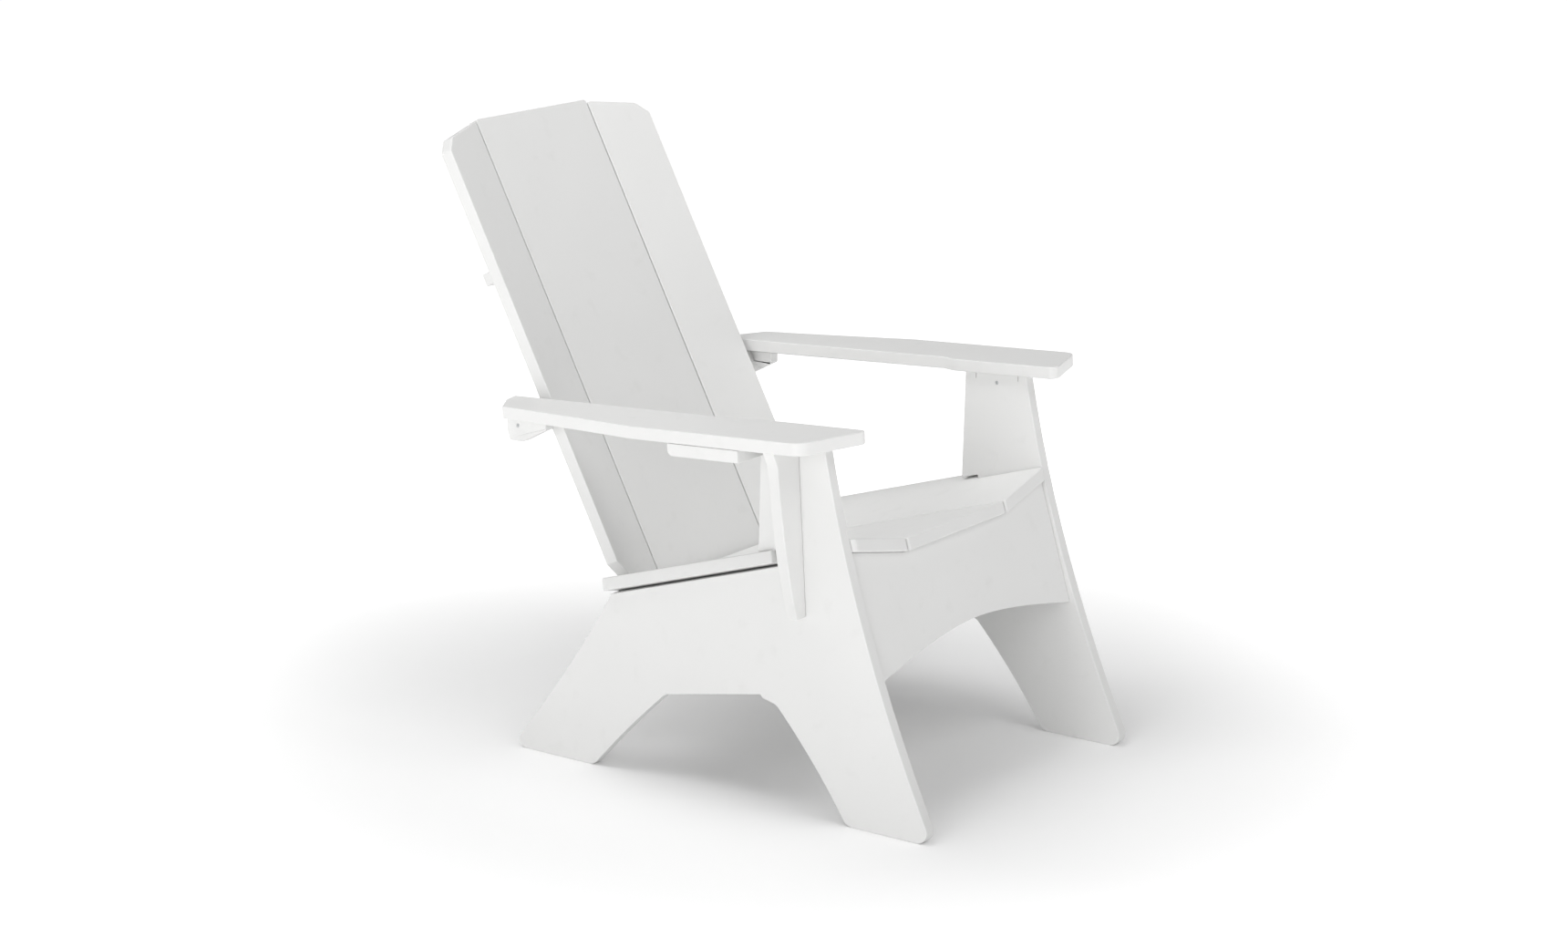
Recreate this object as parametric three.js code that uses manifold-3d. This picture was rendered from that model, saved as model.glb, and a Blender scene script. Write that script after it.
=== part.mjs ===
// Adirondack chair cut from flat sheet: a dished seat of three boards, a winged
// back of three boards, flat arms on flared leg panels, and the rails, ribs,
// cleats and screws that hold them together.
//
// Millimetres, +Z up. The sitter faces -Y, X runs across the chair and the two
// sides mirror each other. While the parts are drawn, Y starts at the front toe
// line; the finished chair is then centred over the origin, standing on Z = 0.

import * as THREE from "three";
import { mergeVertices } from "three/addons/utils/BufferGeometryUtils.js";
import Module from "manifold-3d";

const wasm = await Module();
wasm.setup();

const radians = THREE.MathUtils.degToRad;

// ---------------------------------------------------------------- dimensions

const SHEET = 19; // thickness of every board
const FIT = 0.3; // gap left between boards that touch
const FRAME_WIDTH = 560; // outer face to outer face of the leg panels

// Seat: measured from its front top edge, at the middle of the chair.
const SEAT_HEIGHT = 402.5;
const SEAT_SETBACK = 147.5; // toe line to the seat's front edge
const SEAT_PITCH = radians(16.8); // the seat falls towards the back
const SEAT_DEPTH = 470.5; // front edge to the face of the back
const SEAT_BACK_GAP = 10.5; // rear edge of the seat boards to the face of the back
const SEAT_SEAM = 132.5; // middle of the chair to the middle of a seam
const SEAT_SEAM_GAP = 3;
const SEAT_DISH = radians(12.2); // the side boards rise outwards
const SEAT_NOSE_INSET = 1; // side board to post, where it passes between them
const SEAT_EAR = 8.5; // side board past the outer face of the leg panel
const SEAT_EAR_START = 127.5; // front edge of the seat to the ear

// Back: measured up its face from where it meets the seat.
const BACK_RECLINE = radians(27.7); // from upright
const BACK_LENGTH = 768;
const BACK_TAIL = 100; // the middle board runs on below the seat
const BACK_SEAM = 135.8;
const BACK_SEAM_GAP = 2.5;
const WING_CLEARANCE = 15.4; // wing's outer edge to the line of the post's inner face
const WING_ANGLE = radians(13.1); // the wings turn forwards
const WING_STEP = 3.4; // wing's top edge below the middle board's, at the seam
const WING_SHOULDER = 22.6; // fall from there to the top chamfer
const WING_CHAMFER = 21; // cut off the wing's outer corners
const WING_REST = 6; // wing to the seat surface

// Arms: measured from the tip, the inner front corner of the top face.
const ARM_HEIGHT = 589.2;
const ARM_SETBACK = 131; // toe line to the tip
const ARM_FALL = radians(3.04); // the arm falls towards the back
const ARM_OVERHANG = 91; // outer edge past the outer face of the post
const ARM_TAIL = 15; // arm past the bracket that holds the lower rib
const ARM_LIP = 9.5; // the front of the arm reaches past the post, inwards
const ARM_LIP_LENGTH = 190;
const ARM_LIP_RUN = 23; // length of the slanted step behind the lip
const ARM_TIP_RAKE = 40; // outer front corner behind the inner one
const ARM_TAPER_START = 341; // tip to where the outer edge turns in
const ARM_TAPER_MIDDLE = 513;
const ARM_TAIL_WIDTH = 75; // width of the arm where the rear chamfer starts
const ARM_TAIL_CHAMFER = 46; // across the arm
const ARM_TAIL_CHAMFER_RUN = 30; // along the arm
const ARM_TAIL_SKEW = 8; // the rear edge runs back towards the inner corner

// Leg panels, in side view. A bend is how fast an edge leans at the floor.
const FRONT_EDGE_LEAN = 0.487; // lean of the front edge at the floor
const FRONT_EDGE_CURVE = 0.0002625; // how quickly it straightens up
const FRONT_HEEL = 150.5; // toe line to the back of the front foot
const FRONT_INSIDE_LEAN = 0.622;
const FRONT_INSIDE_CURVE = -0.00097;
const FRONT_KNEE = 158; // height where the inside edge turns to the seam
const FRONT_KNEE_TURN = 4; // height above the knee where the edge has turned half way
const FRONT_KNEE_SILL = 168; // underside of the front panel at the seam
const SEAM_Y = 304; // toe line to the butt joint of the two panels
const TENON_FRONT_SHOULDER = 15.3; // front edge of the post to the tenon
const TENON_REAR_SHOULDER = 19; // tenon to the back of the post
const TENON_HEIGHT = 9; // into the arm
const RELIEF_WIDTH = 0.8; // slits beside the tenon
const RELIEF_DEPTH = 10;
const POST_BACK_TOP = 302; // toe line to the back of the post, at the arm
const POST_BACK_LOW = 307; // and just above the seat
const ARCH_HEIGHT = 172.4; // underside of the rear panel at the seam
const ARCH_FALL = 0.1875; // fall of that edge for each mm back
const ARCH_LENGTH = 177; // seam to the arch's rear corner
const ARCH_SWELL = 4; // how far the edge from there to the rear foot is pulled back and up
const REAR_HEEL = 620.5; // toe line to the front of the rear foot
const REAR_TOE = 784; // toe line to the back of the rear foot
const REAR_EDGE_LEAN = 0.845;
const REAR_EDGE_CURVE = 0.000435;
const REVEAL = 5.4; // shadow gap, seat board to leg panel, at the outer face
const NOTCH_PLAY = 1; // post to the ear of the seat board, in front of it
const NOTCH_HEADROOM = 0.6;
const NOTCH_CORNER = 1.2; // corner radius, small enough for the ear's square edges

// Apron under the front of the seat.
const APRON_INSET = 11.7; // behind the seat's front edge
const APRON_DROP = 188; // seat surface to the ends of the lower edge
const APRON_RISE = 36.5; // height of the arch in the lower edge
const APRON_FULLNESS = 0.36; // how far out the arch stays near its full height

// Rails under the seat.
const REAR_RAIL_HEIGHT = 80;
const SIDE_RAIL_HEIGHT = 64;

// Ribs behind the back: boards on edge.
const RIB_DEPTH = 31; // behind the back boards
const UPPER_RIB_DROP = 245; // top of the back to the middle of the rib
const UPPER_RIB_INSET = 20.6; // end of the rib to the wing's outer edge
const LOWER_RIB_DROP = 4.5; // arm's underside to the top of the rib, at the back's face
const LOWER_RIB_END_DEPTH = 31; // rear edge at the ends, behind the back's face
const LOWER_RIB_END_LEAD = 7; // front edge at the ends, before the back's face

// Brackets that hang the lower rib from the arms.
const BRACKET_OVERHANG = 17; // outer face past the outer face of the post
const BRACKET_LEAD = 43.6; // front edge before the middle of the rib
const BRACKET_LENGTH = 75;
const BRACKET_LEAN = 2; // lean of the rear edge
const BRACKET_DROP = 42; // below the arm
const BRACKET_NOSE = 18; // height of the front edge
const BRACKET_SLANT_RUN = 47;

// Gussets between the posts and the arms.
const GUSSET_SETBACK = 237; // toe line to the front face, under the arm
const GUSSET_WIDTH = 66;
const GUSSET_HEIGHT = 260;
const GUSSET_FOOT = 22; // width at the bottom
const GUSSET_SHOULDER = 13; // step in under the arm
const GUSSET_SHOULDER_DROP = 27;
const GUSSET_BEND_WIDTH = 46.5; // point towards which the outer edge bends
const GUSSET_BEND_DROP = 161;

// Block under the right arm, beside the post.
const BLOCK_SETBACK = 279; // toe line to the front end
const BLOCK_LENGTH = 126;

// Corner radii.
const TOE_ROUND = 18;
const REAR_TOE_ROUND = 15;
const HEEL_ROUND = 20;
const KNEE_ROUND = 22;
const SILL_ROUND = 6;
const ARCH_ROUND = 26;
const BOARD_CORNER = 10; // free outer corners of seat boards
const SEAM_CORNER = 4.5; // corners next to a seam
const SMALL_CORNER = 3;
const ARM_OUTER_ROUND = 24;
const ARM_TIP_ROUND = 12;
const BLOCK_ROUND = 9;

// Small-headed stainless screws, countersunk.
const SCREW_RADIUS = 2;
const SCREW_HEAD_RADIUS = 3;
const SCREW_HEAD_DEPTH = 2;
const SCREW_RIM = 0.2; // edge of the head
const SCREW_SUNK = 0.5; // head below the surface
const SCREW_PLAY = 0.3; // around the screw in its hole
const SCREW_COVER = 6.5; // left between a screw's tip and the far face
const SCREW_SIDES = 16;
const GUSSET_SCREW_DROPS = [15, 228]; // below the arm, upper and lower
const BLOCK_SCREW_INSET = 30; // from each end of the block
const TAIL_SCREW_DROP = 65; // below the seat's plane, down the back
const RAIL_SCREW_INSET = 40; // from the panels' seam and from the rail's front end
const RAIL_SCREW_END = 87; // from the rail's rear end

const CURVE_STEPS = 12; // straight runs in a curved edge
const ROUND_STEPS = 6; // straight runs in a rounded corner
const CLOSING_TURNS = 12; // steps that close in on where a curved edge meets a board

// ----------------------------------------------------- derived from the above

const POST_OUTER = FRAME_WIDTH / 2;
const POST_INNER = POST_OUTER - SHEET;
const ARM_OUTER = POST_OUTER + ARM_OVERHANG;
const BRACKET_OUTER = POST_OUTER + BRACKET_OVERHANG;
const BRACKET_INNER = BRACKET_OUTER - SHEET;
const SEAT_LENGTH = SEAT_DEPTH - SEAT_BACK_GAP;
const BACK_TO_SEAT = BACK_RECLINE - SEAT_PITCH; // back against the seat's normal
const WING_EDGE = POST_INNER - WING_CLEARANCE; // middle of the chair to the wing's edge
const WING_WIDTH = (WING_EDGE - BACK_SEAM) / Math.cos(WING_ANGLE);
const SCREW_SHORT = 2 * SHEET - SCREW_COVER; // through two boards
const SCREW_LONG = RIB_DEPTH + SHEET - SCREW_COVER; // through a rib and a back board
const UPPER_RIB_HEIGHT = BACK_LENGTH - UPPER_RIB_DROP; // up the back's face
const LOWER_RIB_HEIGHT = lowerRibHeight();
const BRACKET_FRONT = backPoint(LOWER_RIB_HEIGHT)[0] - BRACKET_LEAD; // from the toe line
const BRACKET_REAR = BRACKET_FRONT + BRACKET_LENGTH;
const ARM_LENGTH = alongArm(BRACKET_REAR) + ARM_TAIL;
const POST_TOP = topOfFrontEdge(); // height of the post's front corner
const TENON_START = frontEdge(POST_TOP) + TENON_FRONT_SHOULDER; // from the toe line
const TENON_END = POST_BACK_TOP - TENON_REAR_SHOULDER;

/** Height of the seat's surface over the middle board's plane, out at x. */
function dishTop(x) {
  return Math.max(0, (x - SEAT_SEAM) * Math.tan(SEAT_DISH));
}

/** Height of the side board's underside over the middle board's plane, out at x. */
function dishUnderside(x) {
  return (x - SEAT_SEAM) * Math.tan(SEAT_DISH) - SHEET / Math.cos(SEAT_DISH);
}

/** Side-view point [y, z] that lies along and over the seat surface. */
function seatPoint(along, over) {
  const y = SEAT_SETBACK + along * Math.cos(SEAT_PITCH) + over * Math.sin(SEAT_PITCH);
  const z = SEAT_HEIGHT - along * Math.sin(SEAT_PITCH) + over * Math.cos(SEAT_PITCH);
  return [y, z];
}

/** Height of the arm's underside at y. */
function armUnderside(y) {
  return ARM_HEIGHT - (y - ARM_SETBACK) * Math.tan(ARM_FALL) - SHEET / Math.cos(ARM_FALL);
}

/** Distance along the arm, from its tip, of the point above y. */
function alongArm(y) {
  return (y - ARM_SETBACK) / Math.cos(ARM_FALL);
}

/** Side-view point [y, z] at a height up the back's face. */
function backPoint(height) {
  const [y, z] = seatPoint(SEAT_DEPTH, 0);
  return [y + height * Math.sin(BACK_RECLINE), z + height * Math.cos(BACK_RECLINE)];
}

/** Height up the back's face at which the lower rib hangs LOWER_RIB_DROP below the arms. */
function lowerRibHeight() {
  const [y, z] = backPoint(0);
  const rise = Math.cos(BACK_RECLINE) + Math.sin(BACK_RECLINE) * Math.tan(ARM_FALL);
  return (armUnderside(y) - LOWER_RIB_DROP - z) / rise - SHEET / 2;
}

/** Height up the back's face of a point over the seat's plane and out of the back. */
function upBack(over, out) {
  return (over - out * Math.sin(BACK_TO_SEAT)) / Math.cos(BACK_TO_SEAT);
}

/** Distance along the seat of a point over the seat's plane and out of the back. */
function alongSeat(over, out) {
  return SEAT_DEPTH + upBack(over, out) * Math.sin(BACK_TO_SEAT) - out * Math.cos(BACK_TO_SEAT);
}

// ------------------------------------------------------------ drawing a board

/** Points of the curve from a to b that leaves and arrives towards bend. */
function curvePoints(a, bend, b) {
  const curve = new THREE.QuadraticBezierCurve(a, bend, b);
  return curve.getPoints(CURVE_STEPS).slice(1, -1);
}

/** Points of the arc that rounds the corner at p between its neighbours. */
function roundPoints(before, p, after, radius) {
  const toBefore = before.clone().sub(p);
  const toAfter = after.clone().sub(p);
  const reach = 0.95 * Math.min(toBefore.length(), toAfter.length());
  toBefore.normalize();
  toAfter.normalize();
  const half = Math.acos(THREE.MathUtils.clamp(toBefore.dot(toAfter), -1, 1)) / 2;
  const tangent = Math.min(radius / Math.tan(half), reach);
  const fitted = tangent * Math.tan(half);
  const inwards = toBefore.clone().add(toAfter).normalize();
  const centre = p.clone().addScaledVector(inwards, fitted / Math.sin(half));
  const start = p.clone().addScaledVector(toBefore, tangent).sub(centre);
  const end = p.clone().addScaledVector(toAfter, tangent).sub(centre);
  const sweep = Math.atan2(start.cross(end), start.dot(end));
  const points = [];
  for (let step = 0; step <= ROUND_STEPS; step += 1) {
    const turned = start.clone().rotateAround(new THREE.Vector2(), (sweep * step) / ROUND_STEPS);
    points.push(turned.add(centre));
  }
  return points;
}

/**
 * Closed outline through a list of corners [x, y, {round, bend}]. round is the
 * corner's radius, and bend the control point of a curved edge to the next one.
 */
function outline(corners) {
  const raw = [];
  corners.forEach(([x, y, { round = 0, bend = null } = {}], index) => {
    const here = new THREE.Vector2(x, y);
    raw.push({ point: here, round });
    if (bend) {
      const [nextX, nextY] = corners[(index + 1) % corners.length];
      const next = new THREE.Vector2(nextX, nextY);
      for (const point of curvePoints(here, new THREE.Vector2(...bend), next)) {
        raw.push({ point, round: 0 });
      }
    }
  });
  const points = [];
  raw.forEach(({ point, round }, index) => {
    const before = raw[(index + raw.length - 1) % raw.length].point;
    const after = raw[(index + 1) % raw.length].point;
    points.push(...(round > 0 ? roundPoints(before, point, after, round) : [point]));
  });
  return new THREE.Shape(points);
}

/** Outline of a half shape to the right of its middle line, and its mirror. */
function mirrored(half) {
  const other = half.map(([x, y, { round = 0 } = {}], index) => {
    const bend = index > 0 && half[index - 1][2] ? half[index - 1][2].bend : null;
    return [-x, y, { round, bend: bend ? [-bend[0], bend[1]] : null }];
  });
  return outline([...half, ...other.filter(([x]) => x < 0).reverse()]);
}

/** The same corners on the given side of the chair. */
function sided(side, corners) {
  return corners.map(([x, y, { round = 0, bend = null } = {}]) => {
    return [side * x, y, { round, bend: bend ? [side * bend[0], bend[1]] : null }];
  });
}

/** White sheet, satin on its faces. */
function sheetMaterial() {
  return new THREE.MeshStandardMaterial({ color: 0xf2f2f0, roughness: 0.5, metalness: 0 });
}

/** Stainless steel of the screws. */
function steelMaterial() {
  return new THREE.MeshStandardMaterial({ color: 0xb9bcbe, roughness: 0.35, metalness: 1 });
}

/** Board of sheet: its outline, extruded by the sheet's thickness or another depth. */
function board(name, shape, depth = SHEET) {
  const geometry = new THREE.ExtrudeGeometry(shape, { depth, bevelEnabled: false });
  const mesh = new THREE.Mesh(geometry, sheetMaterial());
  mesh.name = name;
  return mesh;
}

/** Slants the edges in the given part of a turned board, so that they stand upright. */
function mitre(mesh, side, angle, within) {
  const points = mesh.geometry.attributes.position;
  for (let at = 0; at < points.count; at += 1) {
    const [across, along] = [side * points.getX(at), points.getY(at)];
    if (points.getZ(at) < SHEET / 2 && within(across, along)) {
      points.setX(at, side * (across - SHEET * Math.tan(angle)));
    }
  }
}

/** Group whose local X, Y and Z axes are the given directions. */
function framed(origin, xAxis, yAxis) {
  const group = new THREE.Group();
  const zAxis = new THREE.Vector3().crossVectors(xAxis, yAxis);
  group.quaternion.setFromRotationMatrix(new THREE.Matrix4().makeBasis(xAxis, yAxis, zAxis));
  group.position.copy(origin);
  return group;
}

const ACROSS = new THREE.Vector3(1, 0, 0);
const SIDES = [
  ["right", -1],
  ["left", 1],
];

// --------------------------------------------------------------- leg panels

/** Side-view group: drawings in (y, z), extruded away from the middle or towards it. */
function sideView(x) {
  return framed(new THREE.Vector3(x, 0, 0), new THREE.Vector3(0, 1, 0), new THREE.Vector3(0, 0, 1));
}

/** A board drawn in side view whose outer face is at x on the given side. */
function sideBoard(name, side, outer, corners) {
  const group = sideView(side > 0 ? outer - SHEET : -outer);
  group.add(board(name, outline(corners)));
  return group;
}

/** Where an edge that starts at y0 on the floor has got to at height z. */
function leaning(y0, lean, curve, z) {
  return y0 + lean * z - curve * z * z;
}

/** Control point of that edge's stretch from height a to height b. */
function leaningBend(y0, lean, curve, a, b) {
  const middle = (a + b) / 2;
  const slope = lean - 2 * curve * a;
  return [leaning(y0, lean, curve, a) + slope * (middle - a), middle];
}

/** Where the front edge of the chair has got to at height z. */
function frontEdge(z) {
  return leaning(0, FRONT_EDGE_LEAN, FRONT_EDGE_CURVE, z);
}

/** Height at which the front edge meets the arm's underside. */
function topOfFrontEdge() {
  let z = armUnderside(ARM_SETBACK);
  for (let turn = 0; turn < CLOSING_TURNS; turn += 1) {
    z = armUnderside(frontEdge(z));
  }
  return z - FIT;
}

/** Point of the panel's top edge, parallel to the seat and REVEAL below its boards. */
function panelTop(y) {
  const over = dishUnderside(POST_OUTER) - REVEAL;
  const [startY, startZ] = seatPoint(0, over);
  return [y, startZ - (y - startY) * Math.tan(SEAT_PITCH)];
}

/** Top of the post from front to back: shoulders, relief slits and the tenon. */
function postTop() {
  const point = (y, up) => [y, armUnderside(y) - FIT + up];
  return [
    point(TENON_START - RELIEF_WIDTH, 0),
    point(TENON_START - RELIEF_WIDTH, -RELIEF_DEPTH),
    point(TENON_START, -RELIEF_DEPTH),
    point(TENON_START, TENON_HEIGHT),
    point(TENON_END, TENON_HEIGHT),
    point(TENON_END, -RELIEF_DEPTH),
    point(TENON_END + RELIEF_WIDTH, -RELIEF_DEPTH),
    point(TENON_END + RELIEF_WIDTH, 0),
    point(POST_BACK_TOP, 0),
  ];
}

/** Front leg panel: foot, flared front edge, post up to the arm, and seat notch. */
function frontLeg(name, side) {
  const kneeY = leaning(FRONT_HEEL, FRONT_INSIDE_LEAN, FRONT_INSIDE_CURVE, FRONT_KNEE);
  const roof = dishTop(POST_OUTER) + NOTCH_HEADROOM;
  const notchFront = SEAT_EAR_START - NOTCH_PLAY;
  const notchTop = seatPoint(notchFront, roof);
  const roofZ = notchTop[1] - (POST_BACK_LOW - notchTop[0]) * Math.tan(SEAT_PITCH);
  const notchFloor = seatPoint(notchFront, dishUnderside(POST_OUTER) - REVEAL);
  const frontBend = leaningBend(0, FRONT_EDGE_LEAN, FRONT_EDGE_CURVE, 0, POST_TOP);
  return sideBoard(name, side, POST_OUTER, [
    [0, 0, { round: TOE_ROUND, bend: frontBend }],
    [frontEdge(POST_TOP), POST_TOP],
    ...postTop(),
    [POST_BACK_LOW, roofZ],
    [...notchTop, { round: NOTCH_CORNER }],
    [...notchFloor, { round: NOTCH_CORNER }],
    panelTop(SEAM_Y),
    [SEAM_Y, FRONT_KNEE_SILL, { round: SILL_ROUND }],
    [
      kneeY + (FRONT_KNEE_SILL - FRONT_KNEE) / 2,
      FRONT_KNEE + FRONT_KNEE_TURN,
      { round: KNEE_ROUND },
    ],
    [
      kneeY,
      FRONT_KNEE,
      { bend: leaningBend(FRONT_HEEL, FRONT_INSIDE_LEAN, FRONT_INSIDE_CURVE, FRONT_KNEE, 0) },
    ],
    [FRONT_HEEL, 0, { round: HEEL_ROUND }],
  ]);
}

/** Rear leg panel: top edge under the seat, rear leg and foot, and the side arch. */
function rearLeg(name, side) {
  const over = dishUnderside(POST_OUTER) - REVEAL;
  const front = SEAM_Y + FIT;
  let top = SEAT_HEIGHT;
  let topY = 0;
  for (let turn = 0; turn < CLOSING_TURNS; turn += 1) {
    topY = leaning(REAR_TOE, -REAR_EDGE_LEAN, -REAR_EDGE_CURVE, top);
    top = seatPoint(0, over)[1] - (topY - seatPoint(0, over)[0]) * Math.tan(SEAT_PITCH);
  }
  const cornerY = SEAM_Y + ARCH_LENGTH;
  const cornerZ = ARCH_HEIGHT - ARCH_LENGTH * ARCH_FALL;
  const swell = [(cornerY + REAR_HEEL) / 2 + ARCH_SWELL, cornerZ / 2 + ARCH_SWELL];
  return sideBoard(name, side, POST_OUTER, [
    [front, ARCH_HEIGHT],
    [cornerY, cornerZ, { round: ARCH_ROUND, bend: swell }],
    [REAR_HEEL, 0, { round: HEEL_ROUND }],
    [
      REAR_TOE,
      0,
      {
        round: REAR_TOE_ROUND,
        bend: leaningBend(REAR_TOE, -REAR_EDGE_LEAN, -REAR_EDGE_CURVE, 0, top),
      },
    ],
    [topY, top, { round: SMALL_CORNER }],
    panelTop(front),
  ]);
}

// --------------------------------------------------------------------- seat

/** Seat frame: X across, Y along the seat to the back, Z out of its surface. */
function seatFrame() {
  const along = new THREE.Vector3(0, Math.cos(SEAT_PITCH), -Math.sin(SEAT_PITCH));
  return framed(new THREE.Vector3(0, SEAT_SETBACK, SEAT_HEIGHT), ACROSS, along);
}

/** Middle seat board. */
function seatCentre() {
  const half = SEAT_SEAM - SEAT_SEAM_GAP / 2;
  const corner = { round: SEAM_CORNER };
  const mesh = board(
    "seat_board_centre",
    mirrored([
      [half, 0, corner],
      [half, SEAT_LENGTH, corner],
    ]),
  );
  mesh.position.z = -SHEET;
  return mesh;
}

/** Side seat board: narrow between the posts, with an ear through the post's notch. */
function seatSide(name, side) {
  const spread = 1 / Math.cos(SEAT_DISH);
  const nose = (POST_INNER - SEAT_NOSE_INSET - SEAT_SEAM) * spread;
  const ear = (POST_OUTER + SEAT_EAR - SEAT_SEAM) * spread;
  const inner = SEAT_SEAM_GAP / 2;
  const group = new THREE.Group();
  const mesh = board(
    name,
    outline(
      sided(side, [
        [inner, 0, { round: SEAM_CORNER }],
        [nose, 0, { round: BOARD_CORNER }],
        [nose, SEAT_EAR_START - NOTCH_PLAY],
        [nose + SHEET * Math.tan(SEAT_DISH), SEAT_EAR_START],
        [ear, SEAT_EAR_START, { round: SMALL_CORNER }],
        [ear, SEAT_LENGTH, { round: BOARD_CORNER }],
        [inner, SEAT_LENGTH, { round: SEAM_CORNER }],
      ]),
    ),
  );
  const isSeam = (across) => across < inner + SEAM_CORNER + FIT;
  const isNose = (across, along) => across > nose - BOARD_CORNER - FIT && along < SEAT_EAR_START;
  mitre(mesh, side, SEAT_DISH, (across, along) => isSeam(across) || isNose(across, along));
  mesh.position.z = -SHEET;
  group.position.x = side * SEAT_SEAM;
  group.rotation.y = -side * SEAT_DISH;
  group.add(mesh);
  return group;
}

/** Board that stands square to the seat, its front face at the given distance along. */
function crossBoard(name, shape, frontFace) {
  const mesh = board(name, shape);
  mesh.rotation.x = Math.PI / 2;
  mesh.position.y = frontFace + SHEET;
  return mesh;
}

/** Apron: carries the front of the seat between the legs, with an arched lower edge. */
function apron() {
  const end = POST_INNER - FIT;
  const crown = APRON_RISE - APRON_DROP;
  const half = [
    [0, crown, { bend: [end * APRON_FULLNESS, crown] }],
    [end, -APRON_DROP],
    [end, dishUnderside(end) - FIT],
    [SEAT_SEAM, dishUnderside(SEAT_SEAM) - FIT],
  ];
  return crossBoard("front_apron", mirrored(half), APRON_INSET);
}

/** The side rail's face towards the middle, its top and foot, and its front end. */
function sideRailPlace() {
  const inner = POST_INNER - FIT - SHEET;
  const top = dishUnderside(inner) - FIT;
  return { inner, top, foot: top - SIDE_RAIL_HEIGHT, start: APRON_INSET + SHEET + FIT };
}

/** Distance along the seat at which a side rail meets the rear rail. */
function railEnd(over) {
  return alongSeat(over, SHEET + 2 * FIT);
}

/** Side rail: lies inside a leg panel, carries the seat and bridges the panel's seam. */
function sideRail(name, side) {
  const { inner, top, foot, start } = sideRailPlace();
  const shape = outline([
    [start, foot],
    [railEnd(foot), foot],
    [railEnd(top), top],
    [start, top],
  ]);
  const group = sideView(side > 0 ? inner : -inner - SHEET);
  group.add(board(name, shape));
  return group;
}

// --------------------------------------------------------------------- back

/** Back frame: X across, Y up the face of the back, Z out of it towards the sitter. */
function backFrame() {
  const [y, z] = backPoint(0);
  const up = new THREE.Vector3(0, Math.sin(BACK_RECLINE), Math.cos(BACK_RECLINE));
  return framed(new THREE.Vector3(0, y, z), ACROSS, up);
}

/** Middle back board, which runs down behind the seat to the rear rail. */
function backCentre() {
  const half = BACK_SEAM - BACK_SEAM_GAP / 2;
  const corner = { round: SEAM_CORNER };
  const mesh = board(
    "back_board_centre",
    mirrored([
      [half, -BACK_TAIL, corner],
      [half, BACK_LENGTH, corner],
    ]),
  );
  mesh.position.z = -SHEET;
  return mesh;
}

/** Height up the back at which a wing clears the seat, at a distance across the wing. */
function wingFoot(across) {
  const x = BACK_SEAM + across * Math.cos(WING_ANGLE);
  return upBack(dishTop(x) + WING_REST, across * Math.sin(WING_ANGLE));
}

/** Wing of the back: a side board with its outer corners cut off. */
function backWing(name, side) {
  const inner = BACK_SEAM_GAP / 2;
  const shoulder = WING_WIDTH - WING_CHAMFER;
  const top = BACK_LENGTH - WING_STEP;
  const group = new THREE.Group();
  const mesh = board(
    name,
    outline(
      sided(side, [
        [inner, wingFoot(inner), { round: SMALL_CORNER }],
        [shoulder, wingFoot(shoulder), { round: SEAM_CORNER }],
        [WING_WIDTH, wingFoot(WING_WIDTH) + WING_CHAMFER, { round: SEAM_CORNER }],
        [WING_WIDTH, top - WING_SHOULDER - WING_CHAMFER, { round: BOARD_CORNER }],
        [shoulder, top - WING_SHOULDER, { round: BOARD_CORNER }],
        [inner, top, { round: SEAM_CORNER }],
      ]),
    ),
  );
  mitre(mesh, side, WING_ANGLE, (across) => across < inner + SEAM_CORNER + FIT);
  mesh.position.z = -SHEET;
  group.position.x = side * BACK_SEAM;
  group.rotation.y = -side * WING_ANGLE;
  group.add(mesh);
  return group;
}

/** How far the rear face of the back boards stands out from the back's plane at x. */
function backRear(x) {
  if (x <= BACK_SEAM) {
    return -SHEET;
  }
  return (x - BACK_SEAM) * Math.tan(WING_ANGLE) - SHEET / Math.cos(WING_ANGLE);
}

/** Front edge of a rib across the middle board: just clear of the wings' mitred corners. */
function ribSeam() {
  return -SHEET / Math.cos(WING_ANGLE) - FIT;
}

/** Rib: a board on edge across the back boards, its middle at the given height. */
function rib(name, shape, height) {
  const mesh = board(name, shape);
  mesh.rotation.x = Math.PI / 2;
  mesh.position.y = height + SHEET / 2;
  return mesh;
}

/** Upper rib, which follows the bend of the back at a constant depth. */
function upperRib() {
  const end = WING_EDGE - UPPER_RIB_INSET;
  return rib(
    "upper_back_rib",
    mirrored([
      [BACK_SEAM, ribSeam()],
      [end, backRear(end) - 2 * FIT, { round: SMALL_CORNER }],
      [end, backRear(end) - RIB_DEPTH, { round: SMALL_CORNER }],
      [BACK_SEAM, backRear(0) - RIB_DEPTH],
    ]),
    UPPER_RIB_HEIGHT,
  );
}

/** Lower rib, which runs on past the wings to the brackets under the arms. */
function lowerRib() {
  const end = BRACKET_INNER - FIT;
  const wingEdge = WING_EDGE + SHEET * Math.sin(WING_ANGLE) + 2 * FIT;
  const slope = Math.tan(WING_ANGLE);
  const turn = BACK_SEAM + (RIB_DEPTH + SHEET - LOWER_RIB_END_DEPTH) / slope;
  return rib(
    "lower_back_rib",
    mirrored([
      [BACK_SEAM, ribSeam()],
      [wingEdge, backRear(wingEdge) - 2 * FIT],
      [wingEdge + LOWER_RIB_END_LEAD, LOWER_RIB_END_LEAD],
      [end, LOWER_RIB_END_LEAD],
      [end, -LOWER_RIB_END_DEPTH],
      [turn, -LOWER_RIB_END_DEPTH],
      [BACK_SEAM, backRear(0) - RIB_DEPTH],
    ]),
    LOWER_RIB_HEIGHT,
  );
}

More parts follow.
